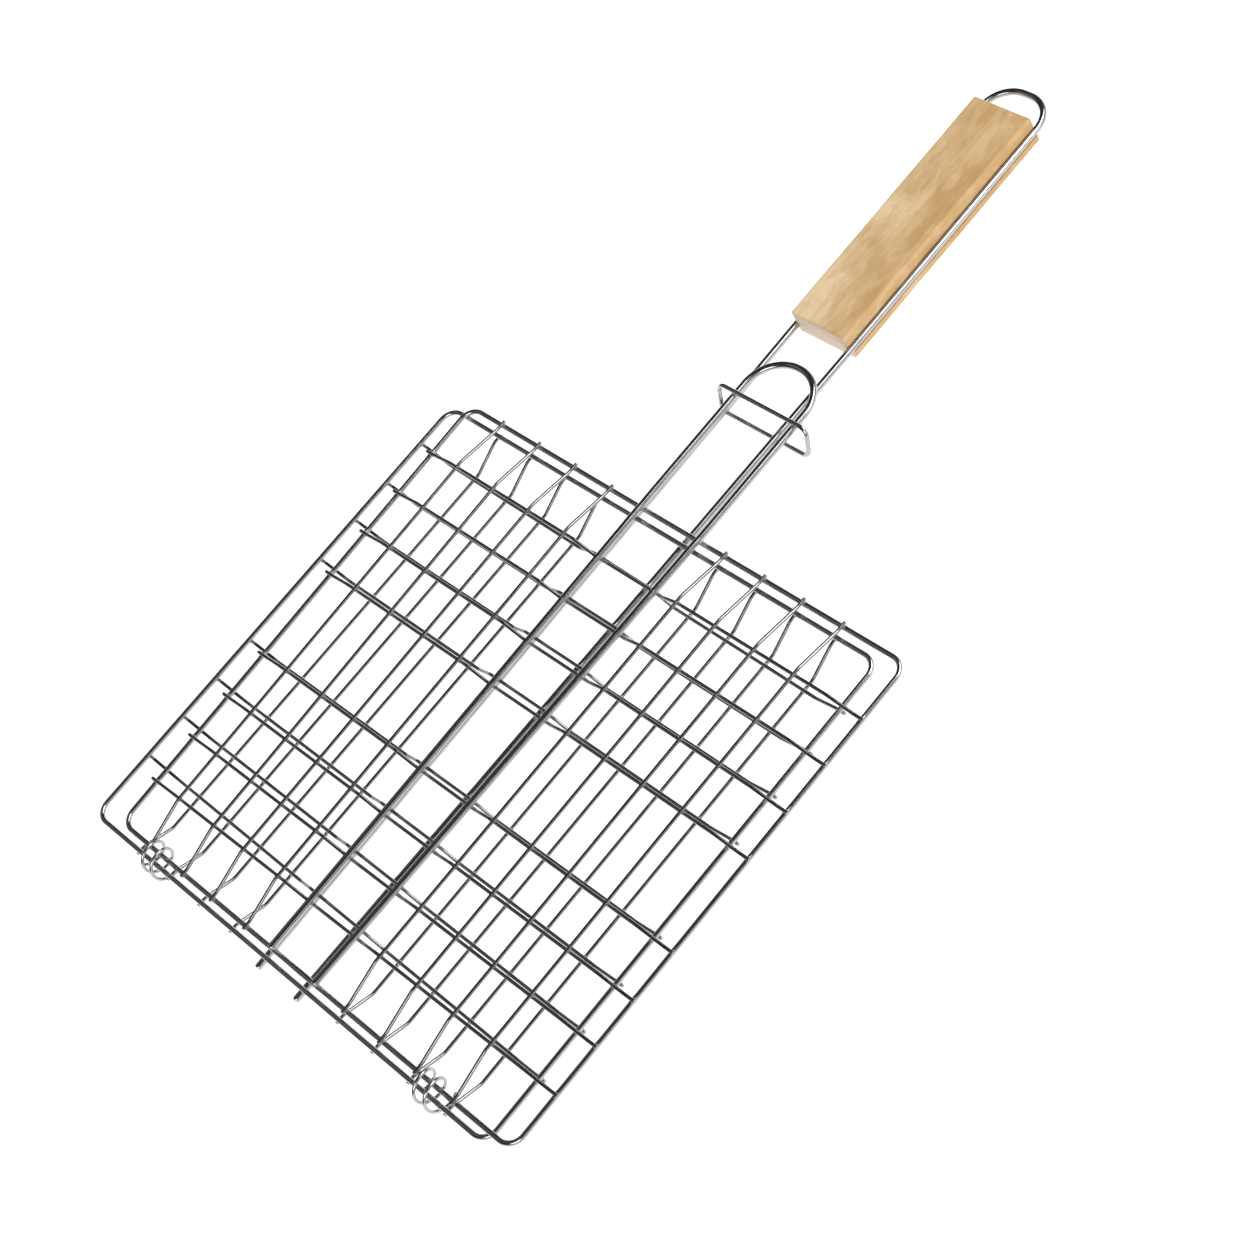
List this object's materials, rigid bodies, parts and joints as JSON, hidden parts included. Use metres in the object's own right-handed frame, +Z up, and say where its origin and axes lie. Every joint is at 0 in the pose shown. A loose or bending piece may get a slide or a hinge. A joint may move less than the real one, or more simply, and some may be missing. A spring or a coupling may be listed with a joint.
{
  "type": "grill basket",
  "caption": "Flat folding wire grill basket: base and lid trays hinged by loose coils, a long wire handle with a wooden grip, and a sliding ring that holds the lid shut.",
  "frame": {"origin": "under the middle of the whole object's bounding box, on the plane the closed basket lies on", "axes": "+Y from the hinge side along the handle to the hanging loop, +Z up through the closed lid, +X to the right when looking along +Y"},
  "size_m": [0.2558, 0.4632, 0.0174],
  "materials": {
    "plated_wire": "bright plated wire",
    "wood_grip": "bare sanded light hardwood"
  },
  "bodies": {
    "base": {"base_frame": "plated_wire", "base_cross_wire_1": "plated_wire", "base_cross_wire_2": "plated_wire", "base_cross_wire_3": "plated_wire", "base_cross_wire_4": "plated_wire", "base_cross_wire_5": "plated_wire", "base_cross_wire_6": "plated_wire", "base_cross_wire_7": "plated_wire", "base_cross_wire_8": "plated_wire", "base_long_wire_1": "plated_wire", "base_long_wire_2": "plated_wire", "base_long_wire_3": "plated_wire", "base_long_wire_4": "plated_wire", "base_long_wire_5": "plated_wire", "base_long_wire_6": "plated_wire", "base_long_wire_7": "plated_wire", "base_long_wire_8": "plated_wire", "base_handle_wire": "plated_wire", "wooden_grip": "wood_grip"},
    "coils": {"hinge_coil_left": "plated_wire", "hinge_coil_right": "plated_wire"},
    "lid": {"lid_frame": "plated_wire", "lid_cross_wire_1": "plated_wire", "lid_cross_wire_2": "plated_wire", "lid_cross_wire_3": "plated_wire", "lid_cross_wire_4": "plated_wire", "lid_cross_wire_5": "plated_wire", "lid_cross_wire_6": "plated_wire", "lid_cross_wire_7": "plated_wire", "lid_cross_wire_8": "plated_wire", "lid_long_wire_1": "plated_wire", "lid_long_wire_2": "plated_wire", "lid_long_wire_3": "plated_wire", "lid_long_wire_4": "plated_wire", "lid_long_wire_5": "plated_wire", "lid_long_wire_6": "plated_wire", "lid_long_wire_7": "plated_wire", "lid_long_wire_8": "plated_wire", "lid_handle_wire": "plated_wire"},
    "ring": {"locking_ring": "plated_wire"}
  },
  "joints": [
    {"name": "coil_swing", "type": "hinge", "parent": "base", "child": "coils", "pos_m": [0, -0.22655, 0.00815], "axis": [1, 0, 0], "range_deg": [0, 60]},
    {"name": "lid_hinge", "type": "hinge", "parent": "coils", "child": "lid", "pos_m": [0.00565, -0.22245, 0.01045], "axis": [1, 0, 0], "range_deg": [0, 95]},
    {"name": "ring_slide", "type": "slide", "parent": "base", "child": "ring", "axis": [0, 1, 0], "range_m": [-0.05, 0.04]}
  ]
}
